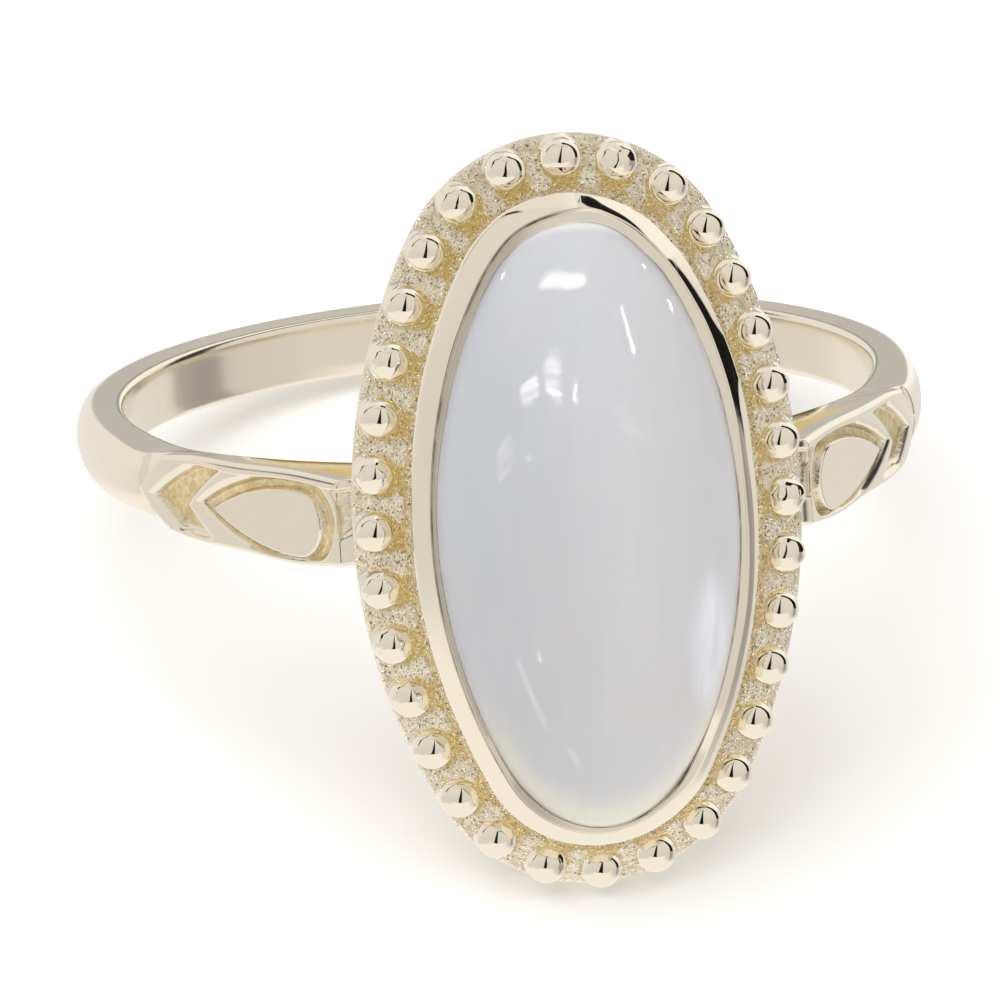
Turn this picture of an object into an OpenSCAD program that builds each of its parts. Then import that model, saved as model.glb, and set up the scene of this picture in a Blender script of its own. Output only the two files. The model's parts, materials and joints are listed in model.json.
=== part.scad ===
// Moonstone ring: a long oval cabochon in a beaded gold frame on a plain band with carved shoulders.
// Worn directions while it is drawn: X across the finger, Y along the finger, Z out through the stone,
// with the middle of the finger hole at the origin. place() then lays the ring on its side.

/* [Band] */
// Diameter of the finger hole, a US size 7
finger_d = 17.35; // [15.5:0.05:19]
// Width of the band along the finger, at the back
band_w = 1.7; // [1.5:0.05:2]
// Thickness of the band at the back
band_t = 1.1; // [0.9:0.05:1.4]
// Radius of the band's rounded outside across its width
crown_r = 1.3; // [1.25:0.05:1.6]

/* [Shoulders] */
// Radius of the arc on which the shoulder leaves the band
flare_r = 14; // [13:0.5:16]
// Angle of the flat plate, turned from the band's side towards the head
plate_turn = 35; // [32:1:37]
// Distance across the finger from the middle to the plate's end beside the head
plate_end_x = 5.3; // [5.2:0.05:5.4]
// Width of the plate where it is widest
plate_w = 2.16; // [2:0.02:2.4]
// Depth of the grooves in the plate
relief_depth = 0.2; // [0.1:0.05:0.3]
// Radius of the teardrop's round end
drop_r = 0.76; // [0.6:0.02:0.8]
// Length of the teardrop from its round end to its tip
drop_l = 3.62; // [3.3:0.02:3.9]
// Width of the groove round the teardrop
groove_w = 0.19; // [0.1:0.01:0.22]
// Depth of the hollow in each side of a shoulder
side_hollow = 0.35; // [0.2:0.05:0.5]

/* [Stone] */
// Length of the moonstone
stone_l = 14; // [13:0.1:15]
// Width of the moonstone
stone_w = 7; // [6.6:0.1:7.4]
// Radius of the stone's two ends, seen from the front
stone_end_r = 2.35; // [2.2:0.05:2.5]
// Height of the stone from its flat back to the top of its dome
stone_h = 3.3; // [2.8:0.1:3.8]
// Space left between the stone and the metal
stone_gap = 0.05; // [0.03:0.01:0.06]

/* [Head] */
// Height of the stone's seat over the middle of the finger hole
seat_z = 12.15; // [12:0.05:12.5]
// Height of the bezel's folded edge over the seat
bezel_h = 1.27; // [1.2:0.01:1.35]
// Distance from the stone's edge out to the foot of the bezel
bezel_foot = 0.38; // [0.34:0.02:0.42]
// Distance from the stone's edge out to the frame's outer edge
frame_reach = 1.6; // [1.55:0.01:1.7]
// Thickness of the frame at its outer edge
frame_edge = 0.47; // [0.42:0.01:0.55]

/* [Beads] */
// Number of beads, a multiple of four
bead_n = 32; // [28:4:36]
// Diameter of a bead
bead_d = 0.76; // [0.7:0.02:0.84]
// Distance from the stone's edge out to the beads' centres
bead_reach = 1.25; // [1.2:0.01:1.3]

/* [Hidden] */
$fn = 96;

finger_r = finger_d / 2;
band_r = finger_r + band_t;
far = 30;
bore_spare = 1;

// The oval: two end arcs about (0, +-end_y) and two side arcs about (+-side_x, 0) that share their joints.
end_y = stone_l / 2 - stone_end_r;
side_r = (pow(stone_w / 2, 2) + pow(end_y, 2) - pow(stone_end_r, 2)) / (stone_w - 2 * stone_end_r);
side_x = side_r - stone_w / 2;
joint_turn = atan2(side_x, end_y);
arc_step = norm([side_x, end_y]);

// Heights and distances of the head's section
window_in = 0.6;
wall_in = 0.2;
ledge_t = 0.55;
pocket_h = 0.8;
lip_t = 0.06;
lip_over = 0.1;
crease_out = 0.09;
crease_drop = 0.22;
foot_z = seat_z + 0.5;
channel_w = 0.28;
channel_z = foot_z - 0.15;
pad_in = [bezel_foot + channel_w + 0.06, channel_z + 0.12];
pad_out = [frame_reach - 0.08, seat_z - 0.45];
edge_top = seat_z - 0.58;
edge_low = edge_top - frame_edge;
edge_taper = 0.15;
gallery_out = 0.42;
gallery_low = 7.4;
gallery_end_z = 10.8;
gallery_foot = [1.4, 9.2];
gallery_arch_y = 5;
window_low = 4.7;

bead_z = seat_z - 0.18;
notch_r = 0.45;
notch_reach = bead_reach - 0.15;
notch_deep = 0.28;

// Shoulder outline in the plane across the finger
flare_x = flare_r - band_r;
plate_start = [flare_x - flare_r * cos(plate_turn), flare_r * sin(plate_turn)];
plate_end_z = plate_start[1] + (-plate_end_x - plate_start[0]) / tan(plate_turn);
plate_depth = 2.2;
neck_z = plate_end_z - 0.2;
neck_w = 1.86;
neck_lap = 0.05;
neck_in = 3.1;
neck_low = 5.7;
width_end_z = edge_low + 0.3;
taper_z = 3;
widest_z = 9.2;
drop_end = 0.54;
groove_end = 0.18;
groove_tip = 0.3;
arch_end = 0.5;
inner_arch = [5.15, 0.95, 1.35];
outer_arch = [6.5, 0.85, 1.6];
ridge_arch = [7.25, 1.2, 2.3];
hollow_tip = [-7, 7.2];
hollow_low = [-3.5, 8.85];
hollow_top = [-5, 10.45];
hollow_tool = 2;

// How the ring leans when it lies on its side: the frame's end and the band's back edge touch the floor.
frame_end_y = stone_l / 2 + frame_reach - edge_taper;
band_edge_r = band_r - crown_r + sqrt(pow(crown_r, 2) - pow(band_w / 2, 2));
lean = atan2(frame_end_y - band_w / 2, edge_low + band_edge_r);
lift = frame_end_y * cos(lean) - edge_low * sin(lean);

// The dome's ellipsoid and how far the ring reaches forward and back when it leans
girdle = 0.15;
dome_base = seat_z + stone_gap + girdle;
dome = [stone_w / 2 + 0.05, stone_l / 2 + 0.2, stone_h - girdle];
front_reach = dome_base * cos(lean) + norm([dome[1] * sin(lean), dome[2] * cos(lean)]);
back_reach = (band_r - crown_r) * cos(lean) + crown_r;
centre_shift = (front_reach - back_reach) / 2;

module place() {
    translate([0, centre_shift, lift])
        rotate([90 - lean, 0, 0])
            children();
}

// The oval at a distance out from the stone's edge
module oval(out) {
    r = stone_end_r + out;
    joint_y = (r + arc_step) * cos(joint_turn);
    intersection() {
        translate([side_x, 0]) circle(r + arc_step);
        translate([-side_x, 0]) circle(r + arc_step);
        square([far, 2 * joint_y], center = true);
    }
    for (side = [-1, 1])
        translate([0, side * end_y]) circle(r);
}

// Carries a section, drawn as distance out from the stone's edge and height, round the oval
module round_oval() {
    for (turn = [0, 180])
        rotate(turn) {
            translate([0, end_y])
                rotate(90 - joint_turn)
                    rotate_extrude(angle = 2 * joint_turn)
                        translate([stone_end_r, 0]) children();
            translate([-side_x, 0])
                rotate(joint_turn - 90)
                    rotate_extrude(angle = 180 - 2 * joint_turn)
                        translate([stone_end_r + arc_step, 0]) children();
        }
}

// Point on the first quarter of an oval, a length along it from the top, with the direction out of it
function on_oval(out, along) =
    let (r = stone_end_r + out, end_l = r * joint_turn * PI / 180)
    along <= end_l
        ? let (turn = along / r * 180 / PI) [r * sin(turn), end_y + r * cos(turn), turn]
        : let (side = r + arc_step, turn = joint_turn + (along - end_l) / side * 180 / PI)
          [side * sin(turn) - side_x, side * cos(turn), turn];

function quarter_length(out) =
    let (r = stone_end_r + out)
    (r * joint_turn + (r + arc_step) * (90 - joint_turn)) * PI / 180;

// Puts its children at every bead's place, moved out from the beads' line
module at_beads(move_out) {
    step = quarter_length(bead_reach) * 4 / bead_n;
    for (k = [0 : bead_n / 4]) {
        spot = on_oval(bead_reach, k * step);
        x = spot[0] + move_out * sin(spot[2]);
        y = spot[1] + move_out * cos(spot[2]);
        for (sx = k == 0 ? [1] : [-1, 1], sy = k == bead_n / 4 ? [1] : [-1, 1])
            translate([sx * x, sy * y, bead_z]) children();
    }
}

// Section of the band, with its rounded outside at radius r and its inside run in to reach_in
module band_section(r, reach_in, width) {
    intersection() {
        translate([r - crown_r, 0]) circle(crown_r);
        translate([r - crown_r, -width / 2]) square([crown_r, width]);
    }
    translate([reach_in, -width / 2]) square([r - crown_r - reach_in, width]);
}

module hoop() {
    rotate([90, 0, 0])
        rotate_extrude()
            band_section(band_r, finger_r - bore_spare, band_w);
}

// Outline of the left shoulder across the finger, set in by a distance
module shoulder_outline(inset) {
    intersection() {
        translate([flare_x, 0]) circle(flare_r - inset, $fn = 360);
        translate([flare_x, 0])
            rotate(180 - plate_turn)
                translate([-far, -far]) square([far + flare_r - inset, 2 * far]);
        translate([-far, 0]) square([far - plate_end_x, far]);
    }
}

// Side-to-side shape of the shoulder, wider towards the head
module shoulder_width() {
    rotate([90, 0, 90])
        linear_extrude(2 * far, center = true)
            polygon([
                [-band_w / 2, 0], [band_w / 2, 0],
                [band_w / 2, taper_z], [plate_w / 2, widest_z], [neck_w / 2, width_end_z],
                [-neck_w / 2, width_end_z], [-plate_w / 2, widest_z], [-band_w / 2, taper_z]
            ]);
}

module across_finger(width) {
    rotate([90, 0, 0])
        linear_extrude(width, center = true)
            children();
}

// Stands on the left plate: X towards the head from the plate's end, Y along the finger, Z out of it
module on_plate() {
    translate([-plate_end_x, 0, plate_end_z])
        rotate([0, plate_turn - 90, 0])
            children();
}

// Round at the head's side and drawn out to a tip on the band's side
module teardrop_shape(centre, r, tip) {
    reach = tip - centre;
    arc_r = (pow(reach, 2) + pow(r, 2)) / (2 * r);
    translate([-centre, 0]) {
        circle(r);
        intersection() {
            translate([0, arc_r - r]) circle(arc_r, $fn = 360);
            translate([0, r - arc_r]) circle(arc_r, $fn = 360);
            translate([-far, -r]) square([far, 2 * r]);
        }
    }
}

// Pointed arch: its tip's distance from the plate's end, half its width, and the length of its curve
module arch_shape(arch) {
    tip = arch[0];
    half = arch[1];
    curve = arch[2];
    arc_r = (pow(curve, 2) + pow(half, 2)) / (2 * half);
    translate([curve - tip, 0]) {
        intersection() {
            translate([0, arc_r - half]) circle(arc_r);
            translate([0, half - arc_r]) circle(arc_r);
            translate([-far, -half]) square([far, 2 * half]);
        }
        translate([0, -half]) square([tip - curve + arch_end, 2 * half]);
    }
}

// The grooves in a plate: one round the teardrop and one between the two arches
module relief_shape() {
    outer_r = drop_r + groove_w;
    difference() {
        teardrop_shape(groove_end + outer_r, outer_r, drop_end + drop_l + groove_tip);
        teardrop_shape(drop_end + drop_r, drop_r, drop_end + drop_l);
    }
    difference() {
        arch_shape(outer_arch);
        arch_shape(inner_arch);
    }
}

module relief_cut() {
    difference() {
        on_plate() linear_extrude(plate_depth, center = true) relief_shape();
        across_finger(2 * far) shoulder_outline(relief_depth);
    }
}

module side_hollows() {
    for (side = [0, 1])
        mirror([0, side, 0])
            translate([0, plate_w / 2 - side_hollow + hollow_tool / 2, 0])
                across_finger(hollow_tool)
                    polygon([hollow_tip, hollow_low, [hollow_low[0], hollow_top[1]], hollow_top]);
}

module shoulder() {
    difference() {
        union() {
            // Rounded stretch where the band thickens
            intersection() {
                translate([flare_x, 0, 0])
                    rotate([90, 0, 0])
                        rotate(180 - plate_turn)
                            rotate_extrude(angle = plate_turn, $fn = 360)
                                band_section(flare_r, flare_r - plate_depth, plate_w);
                shoulder_width();
            }
            // Flat-sided plate with its pointed arch
            intersection() {
                across_finger(far) shoulder_outline(0);
                shoulder_width();
                on_plate() linear_extrude(far, center = true) arch_shape(ridge_arch);
            }
            // Neck that runs under the frame
            intersection() {
                translate([-plate_end_x - neck_lap, -neck_w / 2, neck_low])
                    cube([plate_end_x + neck_lap - neck_in, neck_w, neck_z - neck_low]);
                across_finger(far) translate([-far, 0]) square([far, far]);
            }
        }
        relief_cut();
        side_hollows();
    }
}

// Section of the bezel, the sloping frame and the gallery wall under them
module head_section() {
    lip_z = seat_z + bezel_h;
    polygon([
        [-window_in, seat_z - ledge_t],
        [-window_in, seat_z],
        [stone_gap, seat_z],
        [stone_gap, seat_z + pocket_h],
        [-lip_over, lip_z - lip_t],
        [-lip_over + 0.02, lip_z],
        [crease_out, lip_z - crease_drop],
        [bezel_foot, foot_z],
        [bezel_foot + channel_w, channel_z],
        pad_in,
        pad_out,
        [frame_reach, edge_top],
        [frame_reach - edge_taper, edge_low],
        [gallery_out, edge_low],
        [gallery_out, gallery_low],
        [-wall_in, gallery_low],
        [-wall_in, seat_z - ledge_t]
    ]);
}

// The gallery wall rises from the band in an arch towards each end of the head
module gallery_arches() {
    for (side = [0, 1])
        mirror([0, side, 0])
            rotate([90, 0, 90])
                linear_extrude(far, center = true)
                    polygon([
                        [gallery_foot[0], 0], gallery_foot,
                        [gallery_arch_y, gallery_end_z], [far, gallery_end_z], [far, 0]
                    ]);
}

module head() {
    difference() {
        round_oval() head_section();
        gallery_arches();
        // Hollow that holds each bead in the frame
        at_beads(notch_reach - bead_reach)
            translate([0, 0, -notch_deep]) cylinder(r = notch_r, h = far);
    }
    at_beads(0) sphere(d = bead_d);
}

module ring_mount() {
    color("#e3d6ad")
        place()
            difference() {
                union() {
                    difference() {
                        union() {
                            hoop();
                            for (side = [0, 1])
                                mirror([side, 0, 0]) shoulder();
                        }
                        translate([0, 0, window_low]) linear_extrude(far) oval(0);
                    }
                    head();
                }
                rotate([90, 0, 0]) cylinder(r = finger_r, h = far, center = true, $fn = 360);
            }
}

module moonstone() {
    color("#d4d6e0")
        place()
            intersection() {
                translate([0, 0, seat_z + stone_gap]) linear_extrude(far) oval(0);
                translate([0, 0, dome_base]) scale(dome) sphere(1);
            }
}

ring_mount();
moonstone();
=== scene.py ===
import json

import bpy
import numpy as np
from mathutils import Matrix, Vector, noise


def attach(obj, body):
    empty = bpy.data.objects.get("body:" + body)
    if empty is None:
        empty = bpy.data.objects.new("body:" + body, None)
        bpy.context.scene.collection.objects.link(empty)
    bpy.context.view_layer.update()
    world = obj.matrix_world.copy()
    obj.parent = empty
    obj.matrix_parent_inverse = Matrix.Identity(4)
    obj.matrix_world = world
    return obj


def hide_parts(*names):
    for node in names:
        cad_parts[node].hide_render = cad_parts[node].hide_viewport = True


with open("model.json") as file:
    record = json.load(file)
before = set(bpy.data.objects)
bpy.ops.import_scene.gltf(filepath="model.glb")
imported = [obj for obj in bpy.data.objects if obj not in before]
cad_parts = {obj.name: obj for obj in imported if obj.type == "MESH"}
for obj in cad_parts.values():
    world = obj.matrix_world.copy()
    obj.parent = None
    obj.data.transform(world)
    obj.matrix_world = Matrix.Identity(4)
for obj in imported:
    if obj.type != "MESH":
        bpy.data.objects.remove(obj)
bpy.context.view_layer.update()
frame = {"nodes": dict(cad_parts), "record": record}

# Moonstone ring lying on its side. Every mesh is drawn in millimetres in the ring's own directions:
# across the finger, along the finger and out through the stone, from the middle of the finger hole.
fingerHole = frame["record"]["mounts"][0]
holeRadius = fingerHole["dims"]["r_mm"]
alongFinger = Vector(fingerHole["axis"]).normalized()
acrossFinger = Vector((1, 0, 0))
outOfStone = acrossFinger.cross(alongFinger)
ringTurn = Matrix((acrossFinger, alongFinger, outOfStone)).transposed()
mm = 0.001
ringSpace = Matrix.Translation(fingerHole["pos_m"]) @ ringTurn.to_4x4() @ Matrix.Scale(mm, 4)


def ringBox(node):
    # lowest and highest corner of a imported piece, in millimetres in the ring's directions
    toRing = np.array(ringSpace.inverted())
    points = np.array([tuple(vertex.co) for vertex in frame["nodes"][node].data.vertices])
    points = points @ toRing[:3, :3].T + toRing[:3, 3]
    return points.min(axis=0), points.max(axis=0)


stoneLow, stoneHigh = ringBox("moonstone")
halfLength = stoneHigh[1]
halfWidth = stoneHigh[0]
seatHeight = stoneLow[2] - 0.05
print("frame loaded, stone", (2 * halfWidth).round(2), "by", (2 * halfLength).round(2), "mm")

# Camera, fitted to the photo: how the worn ring is turned towards it, in degrees and millimetres
photoView = {
    "yaw": 8.026,
    "pitch": 12.282,
    "roll": 3.392,
    "distance": 342.697,
    "pixelsPerMm": 43.234,
    "holeRight": -0.03,  # where the finger hole's middle sits from the middle of the picture
    "holeUp": 2.127,
    "pictureWidth": 1000,
    "sensorWidth": 36,
}


def turnAbout(axis, degrees):
    return Matrix.Rotation(np.radians(degrees), 3, axis)


lookTurn = turnAbout("X", photoView["pitch"]) @ turnAbout("Y", photoView["yaw"])
lookTurn = turnAbout("Z", photoView["roll"]) @ lookTurn
cameraAxes = ringTurn @ lookTurn.transposed()  # columns: right, up and back towards the camera


def makeCamera():
    data = bpy.data.cameras.new("photoCamera")
    data.sensor_width = photoView["sensorWidth"]
    focalPixels = photoView["pixelsPerMm"] * photoView["distance"]
    data.lens = photoView["sensorWidth"] * focalPixels / photoView["pictureWidth"]
    camera = bpy.data.objects.new("photoCamera", data)
    spot = Vector((-photoView["holeRight"], -photoView["holeUp"], photoView["distance"]))
    camera.matrix_world = cameraAxes.to_4x4()
    camera.location = Vector(fingerHole["pos_m"]) + cameraAxes @ spot * mm
    bpy.context.scene.collection.objects.link(camera)
    bpy.context.scene.camera = camera


makeCamera()
print("camera placed")


# Node helpers
def feed(tree, socket, value):
    if isinstance(value, bpy.types.NodeSocket):
        tree.links.new(value, socket)
    else:
        socket.default_value = value


def addNode(tree, kind, inputs=None, **settings):
    node = tree.nodes.new(kind)
    for key, value in settings.items():
        setattr(node, key, value)
    for key, value in (inputs or {}).items():
        feed(tree, node.inputs[key], value)
    return node


def maths(tree, operation, first, second=0.0, third=0.0):
    inputs = {0: first, 1: second, 2: third}
    return addNode(tree, "ShaderNodeMath", inputs, operation=operation).outputs[0]


def times(tree, *values):
    total = values[0]
    for value in values[1:]:
        total = maths(tree, "MULTIPLY", total, value)
    return total


def plus(tree, first, second):
    return maths(tree, "ADD", first, second)


def minus(tree, first, second):
    return maths(tree, "SUBTRACT", first, second)


def highest(tree, first, second):
    return maths(tree, "MAXIMUM", first, second)


def ramp(tree, value, low, high, toLow=0.0, toHigh=1.0):
    inputs = {"Value": value, "From Min": low, "From Max": high, "To Min": toLow, "To Max": toHigh}
    return addNode(tree, "ShaderNodeMapRange", inputs, interpolation_type="SMOOTHSTEP").outputs["Result"]


def noiseAt(tree, place, scale, detail):
    inputs = {"Vector": place, "Scale": scale, "Detail": detail}
    return addNode(tree, "ShaderNodeTexNoise", inputs).outputs["Fac"]


def moved(tree, place, **settings):
    return addNode(tree, "ShaderNodeMapping", {"Vector": place, **settings}).outputs["Vector"]


def markOf(tree, name, output="Fac"):
    return addNode(tree, "ShaderNodeAttribute", attribute_name=name).outputs[output]


def mixColour(tree, factor, first, second, blend="MIX"):
    inputs = {0: factor, 6: first, 7: second}
    return addNode(tree, "ShaderNodeMix", inputs, data_type="RGBA", blend_type=blend).outputs[2]


def newGroup(name, inputs, outputs):
    group = bpy.data.node_groups.new(name, "ShaderNodeTree")
    for socketName, kind, value in inputs:
        socket = group.interface.new_socket(socketName, in_out="INPUT", socket_type="NodeSocket" + kind)
        socket.default_value = value
    for socketName, kind in outputs:
        group.interface.new_socket(socketName, in_out="OUTPUT", socket_type="NodeSocket" + kind)
    entry = group.nodes.new("NodeGroupInput")
    leave = group.nodes.new("NodeGroupOutput")
    return group, entry.outputs, leave.inputs


def placeGroup(tree, group, inputs):
    return addNode(tree, "ShaderNodeGroup", inputs, node_tree=group).outputs


# Grain of a cast skin: fine lumps, with sharp pits where it was not polished
def makeCastGrain():
    group, given, result = newGroup(
        "castGrain",
        [("Grain", "Float", 9000.0), ("Pit Size", "Float", 5000.0), ("Pit Share", "Float", 0.3)],
        [("Height", "Float"), ("Pits", "Float"), ("Mottle", "Float"), ("Glints", "Float")],
    )
    place = addNode(group, "ShaderNodeTexCoord").outputs["Object"]
    lumps = noiseAt(group, place, given["Grain"], 3.0)
    patches = noiseAt(group, place, given["Pit Size"], 2.0)
    limit = minus(group, 0.72, times(group, given["Pit Share"], 0.4))
    pits = ramp(group, minus(group, patches, limit), 0.0, 0.08)
    facets = noiseAt(group, moved(group, place, Location=(0.3, 0.7, 0.1)), given["Pit Size"], 2.0)
    height = minus(group, lumps, times(group, pits, 0.8))
    broad = noiseAt(group, place, 4000.0, 3.0)
    group.links.new(height, result["Height"])
    group.links.new(pits, result["Pits"])
    group.links.new(ramp(group, broad, 0.35, 0.65), result["Mottle"])
    group.links.new(ramp(group, facets, 0.56, 0.66), result["Glints"])
    return group


# Polish: faint hairlines and a slow waviness left by the buff
def makePolishMarks():
    group, given, result = newGroup(
        "polishMarks",
        [("Waviness", "Float", 700.0), ("Hairlines", "Float", 6000.0)],
        [("Height", "Float"), ("Scuffs", "Float")],
    )
    place = addNode(group, "ShaderNodeTexCoord").outputs["Object"]
    waves = noiseAt(group, place, given["Waviness"], 1.0)
    lines = noiseAt(group, moved(group, place, Scale=(1.0, 0.12, 0.3)), given["Hairlines"], 2.0)
    group.links.new(waves, result["Height"])
    group.links.new(ramp(group, lines, 0.55, 0.75), result["Scuffs"])
    return group


castGrain = makeCastGrain()
polishMarks = makePolishMarks()


def newMaterial(name):
    material = bpy.data.materials.new(name)
    material.use_nodes = True
    tree = material.node_tree
    return material, tree, tree.nodes["Principled BSDF"]


def makeGold(name, look):
    material, tree, shader = newMaterial(name)
    sizes = {"Grain": look["grain"], "Pit Size": look["pitSize"], "Pit Share": look["pitShare"]}
    grain = placeGroup(tree, castGrain, sizes)
    polish = placeGroup(tree, polishMarks, {"Waviness": look["waviness"], "Hairlines": look["hairlines"]})
    cast, hollow, paintedShade = (markOf(tree, name) for name in ("cast", "hollow", "paintedShade"))
    skin = mixColour(tree, grain["Mottle"], look["satin"], look["satinDark"])
    # painted shade and bounced light: a deeper, darker gold where the hollow mark is high
    skin = mixColour(tree, hollow, skin, look["deep"])
    skin = mixColour(tree, times(tree, grain["Glints"], look["glintShare"]), skin, look["glint"])
    # painted shade: the pits are darkened in colour, less so in the hollows
    pitShade = ramp(tree, hollow, 0.0, 1.0, look["pitDark"], look["pitDark"] * 0.35)
    pitShade = times(tree, grain["Pits"], pitShade)
    skin = mixColour(tree, pitShade, skin, look["pit"])
    # painted shade: dark brown over the colour, where a piece marks it
    colour = mixColour(tree, paintedShade, mixColour(tree, cast, look["shine"], skin), look["paintedShade"])
    tree.links.new(colour, shader.inputs["Base Color"])
    smooth = ramp(tree, polish["Scuffs"], 0.0, 1.0, look["roughness"], look["roughness"] + look["scuffs"])
    rough = ramp(tree, grain["Pits"], 0.0, 1.0, look["castRoughness"], look["castRoughness"] + 0.15)
    blend = addNode(tree, "ShaderNodeMix", {0: cast, 2: smooth, 3: rough}).outputs[0]
    tree.links.new(blend, shader.inputs["Roughness"])
    shader.inputs["Metallic"].default_value = 1.0
    fine = times(tree, times(tree, grain["Height"], cast), look["castDepth"])
    slow = times(tree, polish["Height"], look["waveDepth"])
    relief = {"Height": plus(tree, fine, slow), "Distance": mm, "Strength": 1.0}
    bump = addNode(tree, "ShaderNodeBump", relief)
    tree.links.new(bump.outputs["Normal"], shader.inputs["Normal"])
    return material


goldLook = {
    "shine": (0.90, 0.84, 0.70, 1),
    "satin": (0.86, 0.76, 0.56, 1),
    "satinDark": (0.62, 0.51, 0.32, 1),
    # dark colour of the painted shade in the pits
    "pit": (0.20, 0.14, 0.07, 1),
    "pitDark": 0.8,
    # colour of the painted shade
    "paintedShade": (0.07, 0.05, 0.03, 1),
    "glint": (1.0, 0.95, 0.80, 1),
    "glintShare": 0.6,
    # gold of the painted shade and bounced light in hollows
    "deep": (1.0, 0.81, 0.38, 1),
    "roughness": 0.08,
    "scuffs": 0.08,
    "castRoughness": 0.45,
    "castDepth": 0.03,
    "waveDepth": 0.0,
    "grain": 14000.0,
    "pitSize": 7000.0,
    "pitShare": 0.3,
    "waviness": 500.0,
    "hairlines": 5000.0,
}
print("gold materials ready")


# Meshes
def gridPiece(name, points, material, wrapRows=True, capEnds=False, marks=None):
    # points[station][row] in millimetres; stations close on themselves unless the ends are capped
    stations, rows, _ = points.shape
    index = np.arange(stations * rows).reshape(stations, rows)
    here = index if not capEnds else index[:-1]
    there = np.roll(index, -1, axis=0) if not capEnds else index[1:]
    if wrapRows:
        beside, across = np.roll(here, -1, axis=1), np.roll(there, -1, axis=1)
    else:
        here, beside, there, across = here[:, :-1], here[:, 1:], there[:, :-1], there[:, 1:]
    faces = np.stack([here, beside, across, there], axis=-1).reshape(-1, 4).tolist()
    if capEnds:
        faces += [index[0][::-1].tolist(), index[-1].tolist()]
    mesh = bpy.data.meshes.new(name)
    mesh.from_pydata(points.reshape(-1, 3).tolist(), [], faces)
    mesh.transform(ringSpace)
    return finishPiece(name, mesh, material, marks)


def finishPiece(name, mesh, material, marks):
    for mark, values in (marks or {}).items():
        attribute = mesh.attributes.new(mark, "FLOAT", "POINT")
        attribute.data.foreach_set("value", np.array(values, dtype=np.float32).ravel())
    mesh.materials.append(material)
    mesh.shade_smooth()
    mesh.update()
    piece = bpy.data.objects.new(name, mesh)
    bpy.context.scene.collection.objects.link(piece)
    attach(piece, "root")
    print(name, len(mesh.polygons), "faces")
    return piece


def smoothStep(low, high, value):
    t = np.clip((value - low) / (high - low), 0, 1)
    return t * t * (3 - 2 * t)


def roughness(points, scale, octaves=2):
    # smooth noise at each point, about -1 to 1
    flat = points.reshape(-1, 3) * scale
    values = [noise.fractal(Vector(point), 1.0, 2.0, octaves) for point in flat]
    return np.array(values).reshape(points.shape[:-1])


# The stone's oval: two end arcs and two side arcs that share their joints
endRadius = 2.35
endMiddle = halfLength - endRadius
sideRadius = (halfWidth**2 + endMiddle**2 - endRadius**2) / (2 * (halfWidth - endRadius))
sideMiddle = sideRadius - halfWidth
jointTurn = np.arctan2(sideMiddle, endMiddle)
arcStep = np.hypot(sideMiddle, endMiddle)


def ovalStations(count, lineOut):
    # even places round the oval at a distance out from the stone's edge:
    # foot on the edge, direction out, arc radius, way along
    endRun = (endRadius + lineOut) * jointTurn
    quarter = endRun + (endRadius + arcStep + lineOut) * (np.pi / 2 - jointTurn)
    along = np.arange(count) / count * 4 * quarter
    quadrant = (along // quarter).astype(int)
    local = along - quadrant * quarter
    fromTip = np.where(quadrant % 2 == 0, local, quarter - local)
    onEnd = fromTip <= endRun
    sideTurn = jointTurn + (fromTip - endRun) / (endRadius + arcStep + lineOut)
    turn = np.where(onEnd, fromTip / (endRadius + lineOut), sideTurn)
    outward = np.stack([np.sin(turn), np.cos(turn)], axis=1)
    radius = np.where(onEnd, endRadius, endRadius + arcStep)
    middle = np.where(onEnd[:, None], [[0, endMiddle]], [[-sideMiddle, 0]])
    signs = np.stack([np.where(quadrant < 2, 1, -1), np.where(quadrant % 3 == 0, 1, -1)], axis=1)
    return (middle + radius[:, None] * outward) * signs, outward * signs, radius, along


def sectionLine(corners, fillet=3):
    # corners: out, height, rounding, longest gap to the next; a closed line through them
    spots = [np.array(corner[:2], float) for corner in corners]
    line = []
    for k, (spot, corner) in enumerate(zip(spots, corners)):
        before, after = spots[k - 1], spots[(k + 1) % len(spots)]
        reach = corner[2]
        if reach > 0:
            start = spot + (before - spot) / np.linalg.norm(before - spot) * reach
            end = spot + (after - spot) / np.linalg.norm(after - spot) * reach
            for t in np.linspace(0, 1, fillet + 2):
                line.append((1 - t) ** 2 * start + 2 * t * (1 - t) * spot + t**2 * end)
        else:
            line.append(spot)
        nextReach = corners[(k + 1) % len(corners)][2]
        leave = line[-1]
        arrive = after + (leave - after) / np.linalg.norm(leave - after) * nextReach
        pieces = int(np.ceil(np.linalg.norm(arrive - leave) / corner[3]))
        for t in range(1, pieces):
            line.append(leave + (arrive - leave) * t / pieces)
    return np.array(line)


def sweepSection(feet, outward, outs, heights):
    # carries sections round the oval; outs and heights may differ from station to station
    outs = np.broadcast_to(outs, (len(feet), outs.shape[-1]))
    heights = np.broadcast_to(heights, outs.shape)
    flat = feet[:, None, :] + outward[:, None, :] * outs[..., None]
    return np.concatenate([flat, heights[..., None]], axis=-1)


# Beaded frame: a sloping border round the bezel, matte as cast, with a hollow behind every bead
beadShape = {
    "count": 32,
    "lineOut": 1.20,
    "rise": -0.03,
    "wide": 0.43,  # along the frame
    "deep": 0.44,  # down its slope
    "tall": 0.41,
    "tilt": 40.0,  # degrees that a bead's crown leans out over the frame's slope
}
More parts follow.
